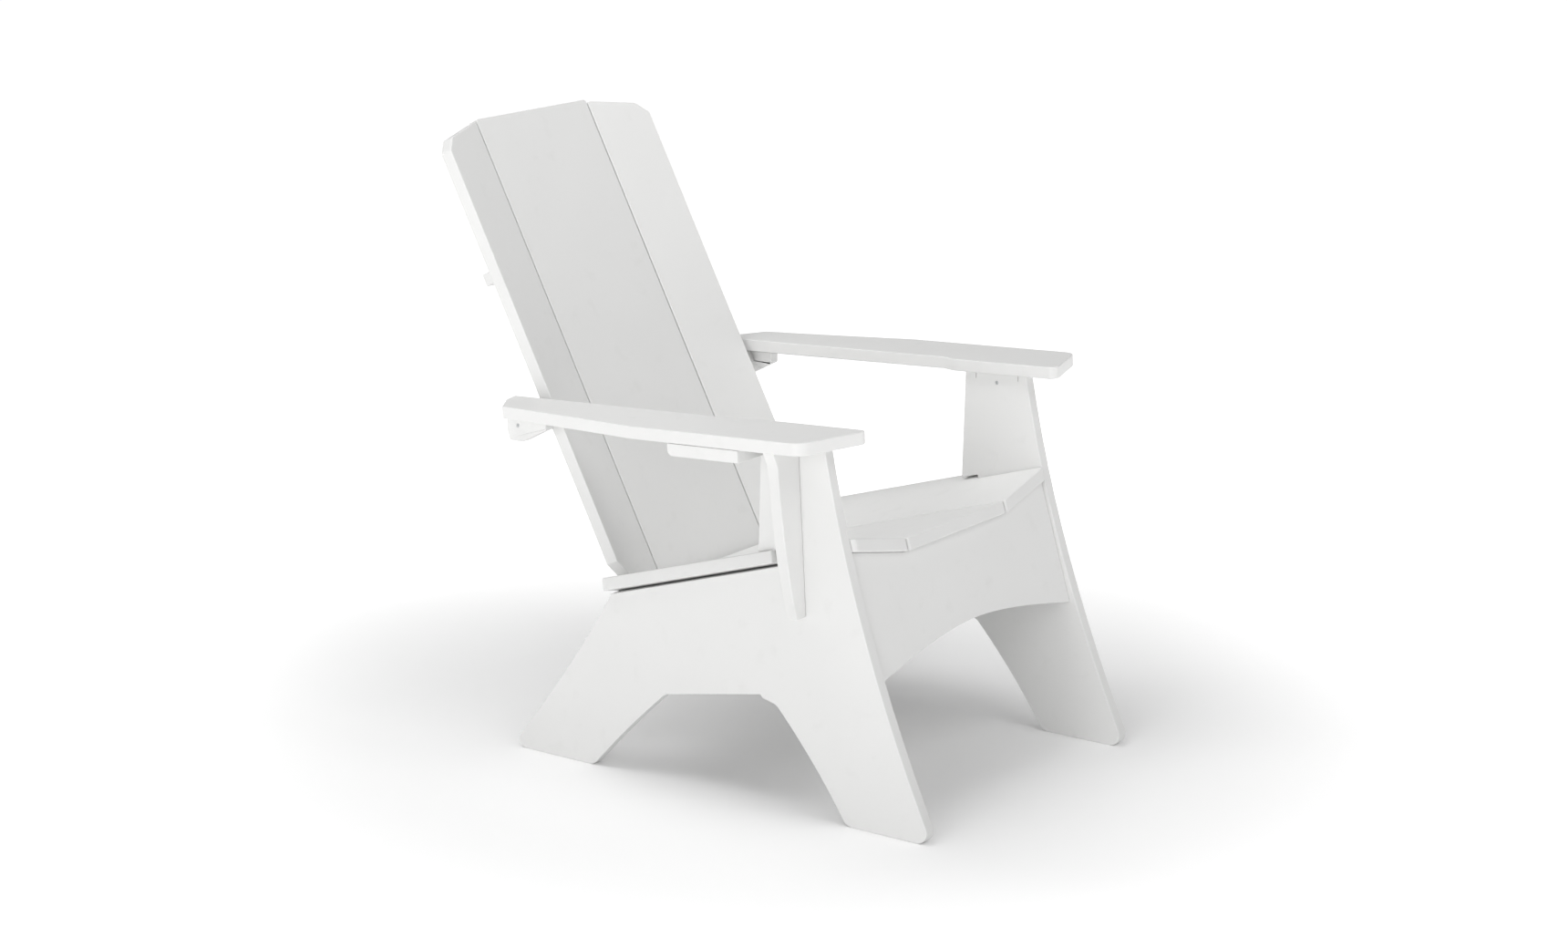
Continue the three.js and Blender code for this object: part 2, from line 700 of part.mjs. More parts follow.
/** Rear rail: in front of the middle back board's tail, carrying the back of the seat. */
function rearRail() {
  const end = POST_INNER - FIT;
  const face = SHEET + FIT;
  const middle = upBack(dishUnderside(SEAT_SEAM) - FIT, face);
  const mesh = board(
    "rear_seat_rail",
    mirrored([
      [SEAT_SEAM, middle],
      [end, upBack(dishUnderside(end) - FIT, face)],
      [end, middle - REAR_RAIL_HEIGHT],
    ]),
  );
  mesh.position.z = FIT;
  return mesh;
}

// --------------------------------------------------------------------- arms

/** Arm frame: X across, Y along the arm to the back, Z out of its top face. */
function armFrame() {
  const along = new THREE.Vector3(0, Math.cos(ARM_FALL), -Math.sin(ARM_FALL));
  return framed(new THREE.Vector3(0, ARM_SETBACK, ARM_HEIGHT), ACROSS, along);
}

/** Arm board. */
function arm(name, side) {
  const tail = POST_INNER + ARM_TAIL_WIDTH;
  const chamferAt = ARM_LENGTH - ARM_TAIL_SKEW - ARM_TAIL_CHAMFER_RUN;
  const middle = (ARM_OUTER + tail) / 2 - ARM_TAIL_SKEW;
  const mesh = board(
    name,
    outline(
      sided(side, [
        [POST_INNER - ARM_LIP, 0, { round: ARM_TIP_ROUND }],
        [ARM_OUTER, ARM_TIP_RAKE, { round: ARM_OUTER_ROUND }],
        [ARM_OUTER, ARM_TAPER_START, { bend: [middle, ARM_TAPER_MIDDLE] }],
        [tail, chamferAt, { round: SMALL_CORNER }],
        [tail - ARM_TAIL_CHAMFER, chamferAt + ARM_TAIL_CHAMFER_RUN, { round: BOARD_CORNER }],
        [POST_INNER, ARM_LENGTH, { round: SMALL_CORNER }],
        [POST_INNER, ARM_LIP_LENGTH + ARM_LIP_RUN],
        [POST_INNER - ARM_LIP, ARM_LIP_LENGTH],
      ]),
    ),
  );
  mesh.position.z = -SHEET;
  return mesh;
}

/** Gusset: stands square under the arm against the outer face of the post. */
function gusset(name, side) {
  const reach = (out) => side * (POST_OUTER + FIT + out);
  const shape = outline([
    [reach(0), -FIT],
    [reach(GUSSET_WIDTH), -FIT],
    [
      reach(GUSSET_WIDTH - GUSSET_SHOULDER),
      -GUSSET_SHOULDER_DROP,
      { bend: [reach(GUSSET_BEND_WIDTH), -GUSSET_BEND_DROP] },
    ],
    [reach(GUSSET_FOOT), -GUSSET_HEIGHT, { round: SMALL_CORNER }],
    [reach(0), -GUSSET_HEIGHT],
  ]);
  const mesh = board(name, shape);
  mesh.rotation.x = Math.PI / 2;
  mesh.position.set(0, alongArm(GUSSET_SETBACK) + SHEET, -SHEET);
  return mesh;
}

/** Block under the arm, from its outer edge to the post. */
function armBlock(name, side) {
  const start = alongArm(BLOCK_SETBACK);
  const width = ARM_OUTER - POST_OUTER - 2 * FIT;
  const group = framed(
    new THREE.Vector3(side > 0 ? ARM_OUTER - width : -ARM_OUTER, 0, -SHEET),
    new THREE.Vector3(0, 1, 0),
    new THREE.Vector3(0, 0, 1),
  );
  const shape = outline([
    [start, -FIT],
    [start, -SHEET],
    [start + BLOCK_LENGTH, -SHEET, { round: BLOCK_ROUND }],
    [start + BLOCK_LENGTH, -FIT],
  ]);
  group.add(board(name, shape, width));
  return group;
}

/** Bracket: hangs under the rear of the arm and holds the end of the lower rib. */
function bracket(name, side) {
  const low = armUnderside(BRACKET_REAR) - BRACKET_DROP;
  const slantEnd = BRACKET_FRONT + BRACKET_SLANT_RUN;
  return sideBoard(name, side, BRACKET_OUTER, [
    [BRACKET_FRONT, armUnderside(BRACKET_FRONT) - FIT],
    [BRACKET_FRONT, low + BRACKET_SLANT_RUN * Math.tan(BACK_RECLINE), { round: SMALL_CORNER }],
    [slantEnd, low, { round: BOARD_CORNER }],
    [BRACKET_REAR - 2 * BRACKET_LEAN, low, { round: SEAM_CORNER }],
    [BRACKET_REAR + BRACKET_LEAN, low + BRACKET_NOSE, { round: BOARD_CORNER }],
    [BRACKET_REAR, armUnderside(BRACKET_REAR) - FIT],
  ]);
}

// ------------------------------------------------------------------- screws

/** Lathed outline of a countersunk screw, its head at the top, grown by play. */
function screwGeometry(length, play, rise) {
  const profile = [
    new THREE.Vector2(0, -length - play),
    new THREE.Vector2(SCREW_RADIUS + play, -length + SCREW_RADIUS),
    new THREE.Vector2(SCREW_RADIUS + play, -SCREW_HEAD_DEPTH),
    new THREE.Vector2(SCREW_HEAD_RADIUS + play, 0),
    new THREE.Vector2(SCREW_HEAD_RADIUS + play, rise),
    new THREE.Vector2(0, rise),
  ];
  return new THREE.LatheGeometry(profile, SCREW_SIDES);
}

/** Closed mesh as a solid that can be cut. */
function solidOf(geometry) {
  const bare = geometry.clone();
  bare.deleteAttribute("normal");
  bare.deleteAttribute("uv");
  const merged = mergeVertices(bare);
  const corners = Array.from(merged.index.array);
  const triangles = corners.flatMap((a, at) => {
    const [b, c] = corners.slice(at + 1, at + 3);
    return at % 3 === 0 && a !== b && b !== c && c !== a ? [a, b, c] : [];
  });
  return new wasm.Manifold(
    new wasm.Mesh({
      numProp: 3,
      vertProperties: new Float32Array(merged.attributes.position.array),
      triVerts: new Uint32Array(triangles),
    }),
  );
}

/** Geometry of a solid. */
function geometryOf(solid) {
  const mesh = solid.getMesh();
  const geometry = new THREE.BufferGeometry();
  geometry.setAttribute("position", new THREE.BufferAttribute(mesh.vertProperties, 3));
  geometry.setIndex(new THREE.BufferAttribute(mesh.triVerts, 1));
  geometry.computeVertexNormals();
  return geometry;
}

/** Mortise in the underside of an arm, with play around the post's tenon. */
function mortise(side) {
  const depth = TENON_HEIGHT + 2 * FIT;
  const length = (TENON_END - TENON_START) / Math.cos(ARM_FALL) + 4 * FIT;
  const hole = new THREE.BoxGeometry(SHEET + 2 * FIT, length, 2 * depth);
  const slant = (SHEET - TENON_HEIGHT / 2) * Math.tan(ARM_FALL);
  const along = alongArm((TENON_START + TENON_END) / 2) + slant;
  return solidOf(hole.translate(side * (POST_INNER + SHEET / 2), along, 0));
}

/** Cuts the mortises, and every screw's hole with play around it, out of the boards. */
function drill(chair) {
  chair.updateMatrixWorld(true);
  const holes = new Map();
  for (const [word, side] of SIDES) {
    holes.set(chair.getObjectByName(`arm_${word}`), [mortise(side)]);
  }
  chair.traverse((screw) => {
    for (const name of screw.userData.boards ?? []) {
      const target = chair.getObjectByName(name);
      const toTarget = target.matrixWorld.clone().invert().multiply(screw.matrixWorld);
      const hole = screwGeometry(screw.userData.length, SCREW_PLAY, SCREW_SUNK + 1);
      const cut = solidOf(hole.applyMatrix4(toTarget));
      holes.set(target, [...(holes.get(target) ?? []), cut]);
    }
  });
  for (const [target, cuts] of holes) {
    const drilled = cuts.reduce((solid, cut) => solid.subtract(cut), solidOf(target.geometry));
    target.geometry = geometryOf(drilled);
  }
}

/** Adds a screw whose head is at the point, driven in the direction, through the boards. */
function addScrew(frame, { name, at, towards, length, boards }) {
  const direction = new THREE.Vector3(...towards).normalize();
  const mesh = new THREE.Mesh(screwGeometry(length, 0, SCREW_RIM), steelMaterial());
  mesh.name = name;
  mesh.userData = { boards, length };
  mesh.quaternion.setFromUnitVectors(new THREE.Vector3(0, -1, 0), direction);
  mesh.position.set(...at).addScaledVector(direction, SCREW_SUNK);
  frame.add(mesh);
}

/** Screws through each post into its gusset, near the gusset's two ends. */
function gussetScrews(arms) {
  const y = alongArm(GUSSET_SETBACK) + SHEET / 2;
  for (const [word, side] of SIDES) {
    ["upper", "lower"].forEach((place, index) => {
      addScrew(arms, {
        name: `gusset_screw_${word}_${place}`,
        at: [side * POST_INNER, y, -SHEET - GUSSET_SCREW_DROPS[index]],
        towards: [side, 0, 0],
        length: SCREW_SHORT,
        boards: [`front_leg_${word}`, `arm_gusset_${word}`],
      });
    });
  }
}

/** Screws through each bracket into the end of the lower rib. */
function bracketScrews(back) {
  const out = (LOWER_RIB_END_LEAD - LOWER_RIB_END_DEPTH) / 2;
  for (const [word, side] of SIDES) {
    addScrew(back, {
      name: `bracket_screw_${word}`,
      at: [side * BRACKET_OUTER, LOWER_RIB_HEIGHT, out],
      towards: [-side, 0, 0],
      length: SCREW_LONG,
      boards: [`arm_bracket_${word}`, "lower_back_rib"],
    });
  }
}

/** Screws up through the block into the arm. */
function blockScrews(arms, word, side) {
  const start = alongArm(BLOCK_SETBACK);
  const middle = (ARM_OUTER + POST_OUTER) / 2;
  const places = [
    ["front", start + BLOCK_SCREW_INSET],
    ["rear", start + BLOCK_LENGTH - BLOCK_SCREW_INSET],
  ];
  places.forEach(([place, along]) => {
    addScrew(arms, {
      name: `block_screw_${word}_${place}`,
      at: [side * middle, along, -2 * SHEET],
      towards: [0, 0, 1],
      length: SCREW_SHORT,
      boards: [`arm_block_${word}`, `arm_${word}`],
    });
  });
}

/** Screws from the rear edge of each rib into the boards of the back. */
function ribScrews(back) {
  const ribs = [
    ["upper", UPPER_RIB_HEIGHT],
    ["lower", LOWER_RIB_HEIGHT],
  ];
  const wingX = BACK_SEAM + WING_WIDTH / 2;
  for (const [level, height] of ribs) {
    for (const [word, side] of SIDES) {
      addScrew(back, {
        name: `${level}_rib_screw_${word}_inner`,
        at: [(side * BACK_SEAM) / 2, height, backRear(0) - RIB_DEPTH],
        towards: [0, 0, 1],
        length: SCREW_LONG,
        boards: [`${level}_back_rib`, "back_board_centre"],
      });
      addScrew(back, {
        name: `${level}_rib_screw_${word}_outer`,
        at: [side * wingX, height, backRear(wingX) - RIB_DEPTH],
        towards: [-side * Math.sin(WING_ANGLE), 0, Math.cos(WING_ANGLE)],
        length: SCREW_LONG,
        boards: [`${level}_back_rib`, `back_board_${word}`],
      });
    }
  }
}

/** Screws through the middle back board's tail into the rear rail. */
function tailScrews(back) {
  for (const [word, side] of SIDES) {
    addScrew(back, {
      name: `tail_screw_${word}`,
      at: [(side * BACK_SEAM) / 2, -TAIL_SCREW_DROP, -SHEET],
      towards: [0, 0, 1],
      length: SCREW_SHORT,
      boards: ["back_board_centre", "rear_seat_rail"],
    });
  }
}

/** Screws through each side rail, two into each leg panel, either side of the seam. */
function railScrews(seat) {
  const { inner, top, foot, start } = sideRailPlace();
  const over = (top + foot) / 2;
  const seam = (SEAM_Y - seatPoint(0, over)[0]) / Math.cos(SEAT_PITCH);
  const places = [
    ["front_outer", start + RAIL_SCREW_INSET, "front"],
    ["front_inner", seam - RAIL_SCREW_INSET, "front"],
    ["rear_inner", seam + RAIL_SCREW_INSET, "rear"],
    ["rear_outer", railEnd(foot) - RAIL_SCREW_END, "rear"],
  ];
  for (const [word, side] of SIDES) {
    for (const [place, along, leg] of places) {
      addScrew(seat, {
        name: `rail_screw_${word}_${place}`,
        at: [side * inner, along, over],
        towards: [side, 0, 0],
        length: SCREW_SHORT,
        boards: [`side_rail_${word}`, `${leg}_leg_${word}`],
      });
    }
  }
}

// ----------------------------------------------------------------- assembly

/** The whole chair, drawn from the toe line. */
function buildChair() {
  const chair = new THREE.Group();
  const seat = seatFrame();
  const back = backFrame();
  const arms = armFrame();
  const [rightWord, rightSide] = SIDES[0];
  chair.add(seat, back, arms);
  arms.add(armBlock(`arm_block_${rightWord}`, rightSide));
  seat.add(seatCentre(), apron());
  back.add(backCentre(), upperRib(), lowerRib(), rearRail());
  for (const [word, side] of SIDES) {
    chair.add(frontLeg(`front_leg_${word}`, side), rearLeg(`rear_leg_${word}`, side));
    chair.add(bracket(`arm_bracket_${word}`, side));
    seat.add(seatSide(`seat_board_${word}`, side), sideRail(`side_rail_${word}`, side));
    back.add(backWing(`back_board_${word}`, side));
    arms.add(arm(`arm_${word}`, side), gusset(`arm_gusset_${word}`, side));
  }
  gussetScrews(arms);
  bracketScrews(back);
  blockScrews(arms, rightWord, rightSide);
  ribScrews(back);
  tailScrews(back);
  railScrews(seat);
  drill(chair);
  return chair;
}

/** Moves the chair so that its box is centred over the origin and stands on Z = 0. */
function centred(chair) {
  const box = new THREE.Box3().setFromObject(chair, true);
  const middle = box.getCenter(new THREE.Vector3());
  chair.position.set(-middle.x, -middle.y, -box.min.z);
  chair.updateMatrixWorld(true);
  return chair;
}

export default centred(buildChair());
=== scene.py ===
"""White adirondack chair, routed from polyethylene sheet and held by stainless screws."""

import logging
import math
from dataclasses import dataclass, field
from enum import Enum

import bmesh
import bpy
from mathutils import Matrix, Vector


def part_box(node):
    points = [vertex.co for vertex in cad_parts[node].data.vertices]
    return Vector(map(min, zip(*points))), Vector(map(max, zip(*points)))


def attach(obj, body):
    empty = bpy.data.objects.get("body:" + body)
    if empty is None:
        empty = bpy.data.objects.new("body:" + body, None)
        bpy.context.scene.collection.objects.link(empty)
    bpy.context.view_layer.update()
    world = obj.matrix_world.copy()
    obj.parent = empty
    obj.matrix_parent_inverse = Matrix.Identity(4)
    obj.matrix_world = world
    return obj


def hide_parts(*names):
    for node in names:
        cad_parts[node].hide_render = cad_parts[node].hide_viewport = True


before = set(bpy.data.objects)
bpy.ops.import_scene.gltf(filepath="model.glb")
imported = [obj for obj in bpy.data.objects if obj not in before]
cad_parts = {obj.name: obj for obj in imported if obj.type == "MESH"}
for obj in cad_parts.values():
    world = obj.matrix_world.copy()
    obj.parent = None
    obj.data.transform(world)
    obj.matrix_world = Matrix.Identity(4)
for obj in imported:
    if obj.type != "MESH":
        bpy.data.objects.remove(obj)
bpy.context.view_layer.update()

log = logging.getLogger("chair")

MM = 0.001
WELD_MM = 0.01  # points nearer to each other than this are one point
NEAR_MM = 0.1  # points nearer to a plane than this lie on it
BODY = "root"
SIDES = ("right", "left")


def linear(colour: str) -> tuple[float, float, float, float]:
    """Turns an sRGB hex colour into the linear colour that a shader takes.

    Args:
        colour: Six hex digits after a hash sign.

    Returns:
        Linear red, green and blue, and an alpha of one.
    """
    values = [int(colour[at : at + 2], 16) / 255 for at in (1, 3, 5)]
    toe, toe_slope, offset, power = 0.04045, 12.92, 0.055, 2.4
    red, green, blue = (
        v / toe_slope if v <= toe else ((v + offset) / (1 + offset)) ** power for v in values
    )
    return red, green, blue, 1.0


def add_node(
    tree: bpy.types.NodeTree,
    kind: str,
    settings: dict | None = None,
    inputs: dict | None = None,
) -> bpy.types.Node:
    """Adds a node with its settings, its values and its links.

    Args:
        tree: The tree that takes the node.
        kind: The node's type name.
        settings: Properties of the node itself.
        inputs: Socket names or numbers, each with a value or another node's output.

    Returns:
        The new node.
    """
    node = tree.nodes.new(kind)
    for name, value in (settings or {}).items():
        setattr(node, name, value)
    for name, value in (inputs or {}).items():
        if isinstance(value, bpy.types.NodeSocket):
            tree.links.new(value, node.inputs[name])
        else:
            node.inputs[name].default_value = value
    return node


def new_tree(name: str) -> tuple[bpy.types.Material, bpy.types.NodeTree]:
    """Makes an empty node material.

    Args:
        name: What the material is.

    Returns:
        The material and its tree.
    """
    material = bpy.data.materials.new(name)
    material.use_nodes = True
    material.node_tree.nodes.clear()
    return material, material.node_tree


# ------------------------------------------------------------------ finishes


MIX_A, MIX_B, MIXED = 6, 7, 2  # a Mix node's colour sockets: two that go in, one that comes out
BANDS_PER_UNIT = 0.314  # scale that spaces the wave texture's bands one unit apart


class Surface(Enum):
    """How a surface of the sheet was made."""

    ROLLED = "rolled face"
    ROUTED = "routed edge"

    @property
    def material_name(self) -> str:
        """Name of the material of this kind of surface."""
        return f"polyethylene sheet, {self.value}"


@dataclass(frozen=True)
class SheetFinish:
    """High-density polyethylene sheet, coloured white all through.

    The rolled faces are satin with a fine pebble that breaks up the light. The routed
    edges are smoother and catch a cleaner highlight, with faint cutter marks across
    the thickness. The pebble of the real sheet is about 0.4 mm, too fine to show here,
    so it is drawn at 1.6 mm.

    Attributes:
        colour: The rolled faces' white.
        shade: The white that the clouding shades it to.
        scuff: Colour of the rubbed patches.
        routed_white_with_painted_shade: The routed edges' white, painted a shade darker than the
            faces' to tone down the light that the edges catch; the clouding lifts it to the
            faces'.
        roughness: Roughness of the rolled faces.
        routed_roughness: Roughness of the routed edges.
        ior: The plastic's index of refraction.
        pebble_mm: Width of the pebble's bumps.
        pebble_height_mm: Their height.
        cloud_mm: Width of the clouds.
        scuff_mm: Width of the rubbed and the wiped patches.
        scuff_starts: Value of the noise at which a rubbed patch starts.
        scuff_full: Value of the noise at which it is full.
        scuff_share: How far a full patch turns to the scuff's colour.
        polish: How much smoother wiping makes the sheet at most.
        dulling: How much rougher handling makes it at most.
        cutter_mark_mm: Distance between the cutter's marks.
        cutter_depth_mm: Their depth.
        cutter_wander: How far they stray from straight.
    """

    colour: str = "#e6e6e5"
    shade: str = "#e2e2e1"
    scuff: str = "#d9d9d7"
    routed_white_with_painted_shade: str = "#dededd"
    roughness: float = 0.46
    routed_roughness: float = 0.36
    ior: float = 1.54
    pebble_mm: float = 1.6
    pebble_height_mm: float = 0.035
    cloud_mm: float = 140.0
    scuff_mm: float = 32.0
    scuff_starts: float = 0.6
    scuff_full: float = 0.78
    scuff_share: float = 0.35
    polish: float = 0.06
    dulling: float = 0.08
    cutter_mark_mm: float = 1.3
    cutter_depth_mm: float = 0.02
    cutter_wander: float = 1.5

    def material(self, surface: Surface) -> bpy.types.Material:
        """Makes the material of one kind of surface.

        Args:
            surface: Rolled face or routed edge.

        Returns:
            The material.
        """
        material, tree = new_tree(surface.material_name)
        routed = surface is Surface.ROUTED
        place = add_node(tree, "ShaderNodeTexCoord").outputs["Object"]
        pattern = add_node(tree, "ShaderNodeUVMap", {"uv_map": "sheet"}).outputs["UV"]
        colour = self._colour(tree, place, routed)
        height = self._cutter_marks(tree, pattern) if routed else self._pebble(tree, place)
        depth = self.cutter_depth_mm if routed else self.pebble_height_mm
        bump = add_node(
            tree,
            "ShaderNodeBump",
            inputs={"Strength": 1.0, "Distance": depth * MM, "Height": height},
        )
        roughness = self._roughness(tree, place, routed)
        shader = add_node(
            tree,
            "ShaderNodeBsdfPrincipled",
            inputs={
                "Base Color": colour,
                "Roughness": roughness,
                "IOR": self.ior,
                "Normal": bump.outputs["Normal"],
            },
        )
        add_node(tree, "ShaderNodeOutputMaterial", inputs={"Surface": shader.outputs["BSDF"]})
        return material

    def _colour(
        self, tree: bpy.types.NodeTree, place: bpy.types.NodeSocket, routed: bool
    ) -> bpy.types.NodeSocket:
        """Broad clouding of the white, with a few faint rubbed patches, over painted shade on the
        routed edges.

        Args:
            tree: The material's tree.
            place: Object coordinates.
            routed: True on the edges.

        Returns:
            The colour socket.
        """
        cloud = add_node(
            tree,
            "ShaderNodeTexNoise",
            inputs={"Vector": place, "Scale": 1 / (self.cloud_mm * MM), "Detail": 3.0},
        )
        rubbed = add_node(
            tree,
            "ShaderNodeTexNoise",
            inputs={"Vector": place, "Scale": 1 / (self.scuff_mm * MM), "Detail": 6.0},
        )
        patches = add_node(
            tree,
            "ShaderNodeMapRange",
            inputs={
                "Value": rubbed.outputs["Fac"],
                "From Min": self.scuff_starts,
                "From Max": self.scuff_full,
                "To Max": self.scuff_share,
            },
        )
        # On the routed edges the white starts a shade darker than the faces': painted shade that
        # tones down the light they catch.
        base = add_node(
            tree,
            "ShaderNodeMix",
            {"data_type": "RGBA"},
            {
                "Factor": cloud.outputs["Fac"],
                MIX_A: linear(self.routed_white_with_painted_shade if routed else self.colour),
                MIX_B: linear(self.colour if routed else self.shade),
            },
        )
        mixed = add_node(
            tree,
            "ShaderNodeMix",
            {"data_type": "RGBA"},
            {
                "Factor": patches.outputs["Result"],
                MIX_A: base.outputs[MIXED],
                MIX_B: linear(self.scuff),
            },
        )
        return mixed.outputs[MIXED]

    def _pebble(
        self, tree: bpy.types.NodeTree, place: bpy.types.NodeSocket
    ) -> bpy.types.NodeSocket:
        """Height of the fine pebble that the rollers leave on the faces.

        Args:
            tree: The material's tree.
            place: Object coordinates.

        Returns:
            The height socket.
        """
        pebble = add_node(
            tree,
            "ShaderNodeTexNoise",
            inputs={"Vector": place, "Scale": 1 / (self.pebble_mm * MM), "Detail": 2.0},
        )
        return pebble.outputs["Fac"]

    def _cutter_marks(
        self, tree: bpy.types.NodeTree, pattern: bpy.types.NodeSocket
    ) -> bpy.types.NodeSocket:
        """Height of the cutter's marks, which run across the sheet's thickness.

        Args:
            tree: The material's tree.
            pattern: The board's map, in metres round its edges and through it.

        Returns:
            The height socket.
        """
        marks = add_node(
            tree,
            "ShaderNodeTexWave",
            {"wave_type": "BANDS", "bands_direction": "X", "wave_profile": "SIN"},
            {
                "Vector": pattern,
                "Scale": BANDS_PER_UNIT / (self.cutter_mark_mm * MM),
                "Distortion": self.cutter_wander,
                "Detail": 2.0,
            },
        )
        return marks.outputs["Fac"]

    def _roughness(
        self, tree: bpy.types.NodeTree, place: bpy.types.NodeSocket, routed: bool
    ) -> bpy.types.NodeSocket:
        """Satin that varies a little from handling and wiping.

        Args:
            tree: The material's tree.
            place: Object coordinates.
            routed: True on the edges.

        Returns:
            The roughness socket.
        """
        middle = self.routed_roughness if routed else self.roughness
        wiped = add_node(
            tree,
            "ShaderNodeTexNoise",
            inputs={"Vector": place, "Scale": 1 / (self.scuff_mm * MM), "Detail": 4.0},
        )
        spread = add_node(
            tree,
            "ShaderNodeMapRange",
            inputs={
                "Value": wiped.outputs["Fac"],
                "To Min": middle - self.polish,
                "To Max": middle + self.dulling,
            },
        )
        return spread.outputs["Result"]


@dataclass(frozen=True)
class ScrewFinish:
    """Passivated stainless steel, cold headed and tumbled.

    Tumbling leaves it dull and slightly blotchy, so it shows as a soft grey dot in its
    hole instead of a bright one.

    Attributes:
        colour: The clean steel's grey.
        stain: The blotches' grey.
        roughness: The steel's roughness.
        polish: How much smoother than that it is at its smoothest.
        dulling: How much rougher than that it is at its roughest.
        blotch_mm: Width of the blotches.
        dent_mm: Depth of the tumbling dents.
        dent_strength: How strongly they show.
    """

    colour: str = "#d3d5d6"
    stain: str = "#b9bbbc"
    roughness: float = 0.4
    polish: float = 0.08
    dulling: float = 0.14
    blotch_mm: float = 2.5
    dent_mm: float = 0.02
    dent_strength: float = 0.6

    def material(self) -> bpy.types.Material:
        """Makes the material.

        Returns:
            The material.
        """
        material, tree = new_tree("tumbled stainless steel")
        place = add_node(tree, "ShaderNodeTexCoord").outputs["Object"]
        blotch = add_node(
            tree,
            "ShaderNodeTexNoise",
            inputs={"Vector": place, "Scale": 1 / (self.blotch_mm * MM), "Detail": 5.0},
        )
        colour = add_node(
            tree,
            "ShaderNodeMix",
            {"data_type": "RGBA"},
            {
                "Factor": blotch.outputs["Fac"],
                MIX_A: linear(self.colour),
                MIX_B: linear(self.stain),
            },
        )
        dull = add_node(
            tree,
            "ShaderNodeMapRange",
            inputs={
                "Value": blotch.outputs["Fac"],
                "To Min": self.roughness - self.polish,
                "To Max": self.roughness + self.dulling,
            },
        )
        bump = add_node(
            tree,
            "ShaderNodeBump",
            inputs={
                "Strength": self.dent_strength,
                "Distance": self.dent_mm * MM,
                "Height": blotch.outputs["Fac"],
            },
        )
        shader = add_node(
            tree,
            "ShaderNodeBsdfPrincipled",
            inputs={
                "Base Color": colour.outputs[MIXED],
                "Metallic": 1.0,
                "Roughness": dull.outputs["Result"],
                "Normal": bump.outputs["Normal"],
            },
        )
        add_node(tree, "ShaderNodeOutputMaterial", inputs={"Surface": shader.outputs["BSDF"]})
        return material


@dataclass(frozen=True)
class FloorFinish:
    """Matte white studio floor with a painted glow that rises towards its edges; the floor is no
    lamp.

    Round the chair the painted glow is faint, so it takes soft shadows there. Farther out the
    painted glow rises, so that the floor and the backdrop read as one white sweep.

    Attributes:
        colour: The floor's paint.
        roughness: Its roughness.
        near_glow: Glow under the chair.
        far_glow: Glow far from the chair.
        near: Distance at which the glow starts to rise, in metres.
        far: Distance at which it has risen, in metres.
    """

    colour: str = "#f9f9f9"
    roughness: float = 0.9
    near_glow: float = 0.04
    far_glow: float = 0.66
    near: float = 0.5
    far: float = 1.7

    def material(self) -> bpy.types.Material:
        """Makes the material.

        Returns:
            The material.
        """
        material, tree = new_tree("matte studio floor")
        place = add_node(tree, "ShaderNodeTexCoord").outputs["Object"]
        away = add_node(
            tree, "ShaderNodeVectorMath", {"operation": "LENGTH"}, {"Vector": place}
        )
        # Painted light: the floor glows faintly round the chair, so its shadows stay dark there,
        # and brightly farther out.
        glow = add_node(
            tree,
            "ShaderNodeMapRange",
            {"interpolation_type": "SMOOTHSTEP"},
            {
                "Value": away.outputs["Value"],
                "From Min": self.near,
                "From Max": self.far,
                "To Min": self.near_glow,
                "To Max": self.far_glow,
            },
        )
        shader = add_node(
            tree,
            "ShaderNodeBsdfPrincipled",
            inputs={
                "Base Color": linear(self.colour),
                "Roughness": self.roughness,
                "Specular IOR Level": 0.0,
                "Emission Color": (1.0, 1.0, 1.0, 1.0),
                "Emission Strength": glow.outputs["Result"],
            },
        )
        add_node(tree, "ShaderNodeOutputMaterial", inputs={"Surface": shader.outputs["BSDF"]})
        return material


# ------------------------------------------------------------ modelling tools


def pick(piece: bpy.types.Object) -> None:
    """Makes the piece the only selected object, and the active one.

    Args:
        piece: The object.
    """
    bpy.ops.object.select_all(action="DESELECT")
    piece.select_set(True)
    bpy.context.view_layer.objects.active = piece


def apply_modifier(piece: bpy.types.Object, kind: str, **settings: object) -> None:
    """Adds a modifier to the piece and applies it.

    Args:
        piece: The object.
        kind: The modifier's type name.
        **settings: The modifier's properties.
    """
    modifier = piece.modifiers.new(kind.lower(), kind)
    for name, value in settings.items():
        setattr(modifier, name, value)
    pick(piece)
    bpy.ops.object.modifier_apply(modifier=modifier.name)


HOLE_REACH = 0.1  # share of a screw's length that its hole reaches past either end


@dataclass(frozen=True)
class Axis:
    """Line that a screw is driven along, from the middle of its head to its tip."""

    head: Vector
    tip: Vector

    @staticmethod
    def of(node: str) -> "Axis":
        """Finds the line in the mesh of a screw's CAD node.

        Args:
            node: The CAD node's name.

        Returns:
            The line.
        """
        points = [vertex.co.copy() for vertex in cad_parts[node].data.vertices]
        middle = sum(points, Vector()) / len(points)
        tip = max(points, key=lambda point: (point - middle).length)
        reach = max((point - tip).length for point in points)
        rim = [point for point in points if (point - tip).length > reach - NEAR_MM * MM]
        head = sum(rim, Vector()) / len(rim)
        return Axis(head, tip)

    def distance(self, point: Vector) -> float:
        """How far a point is from the line between head and tip.

        Args:
            point: The point.

        Returns:
            The distance in metres.
        """
        along = self.tip - self.head
        share = (point - self.head).dot(along) / along.length_squared
        nearest = self.head + along * min(1 + HOLE_REACH, max(-HOLE_REACH, share))
        return (point - nearest).length


SCREWS = sorted(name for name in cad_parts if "screw" in name)


